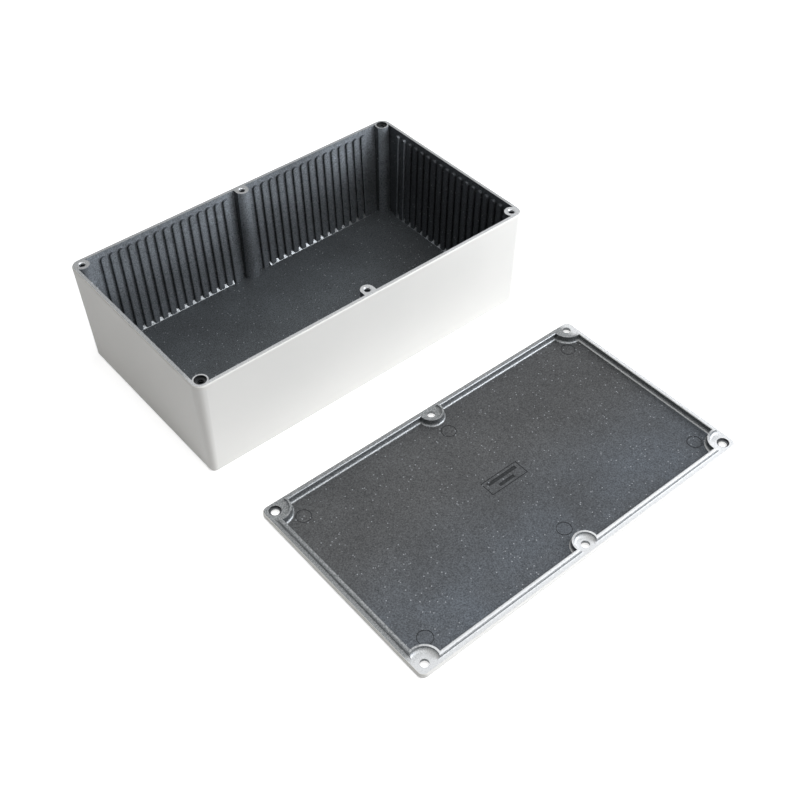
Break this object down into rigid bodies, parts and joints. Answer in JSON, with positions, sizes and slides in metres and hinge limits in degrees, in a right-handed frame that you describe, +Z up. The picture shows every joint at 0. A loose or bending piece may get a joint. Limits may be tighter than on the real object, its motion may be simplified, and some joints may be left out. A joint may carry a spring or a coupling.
{
  "type": "die cast aluminium box",
  "caption": "Rectangular die cast aluminium instrument box, painted light grey, with internal guide ribs and screw bosses and its flanged lid lying beside it, inner side up.",
  "frame": {"origin": "centre of the case's base, on the table", "axes": "+X along the case's long side, +Y across it away from the lid, +Z up through the case's open mouth"},
  "size_m": [0.1968, 0.2511, 0.057],
  "materials": {
    "case_casting": "light grey paint outside, raw as cast inside",
    "lid_casting": "raw as cast inside, light grey paint on the face and edges"
  },
  "bodies": {
    "case_body": {"case": "case_casting"},
    "lid_body": {"lid": "lid_casting"}
  },
  "joints": [
    {"name": "lid_lift", "type": "slide", "parent": "case_body", "child": "lid_body", "axis": [0, 0, 1], "range_m": [0, 0.08]}
  ]
}
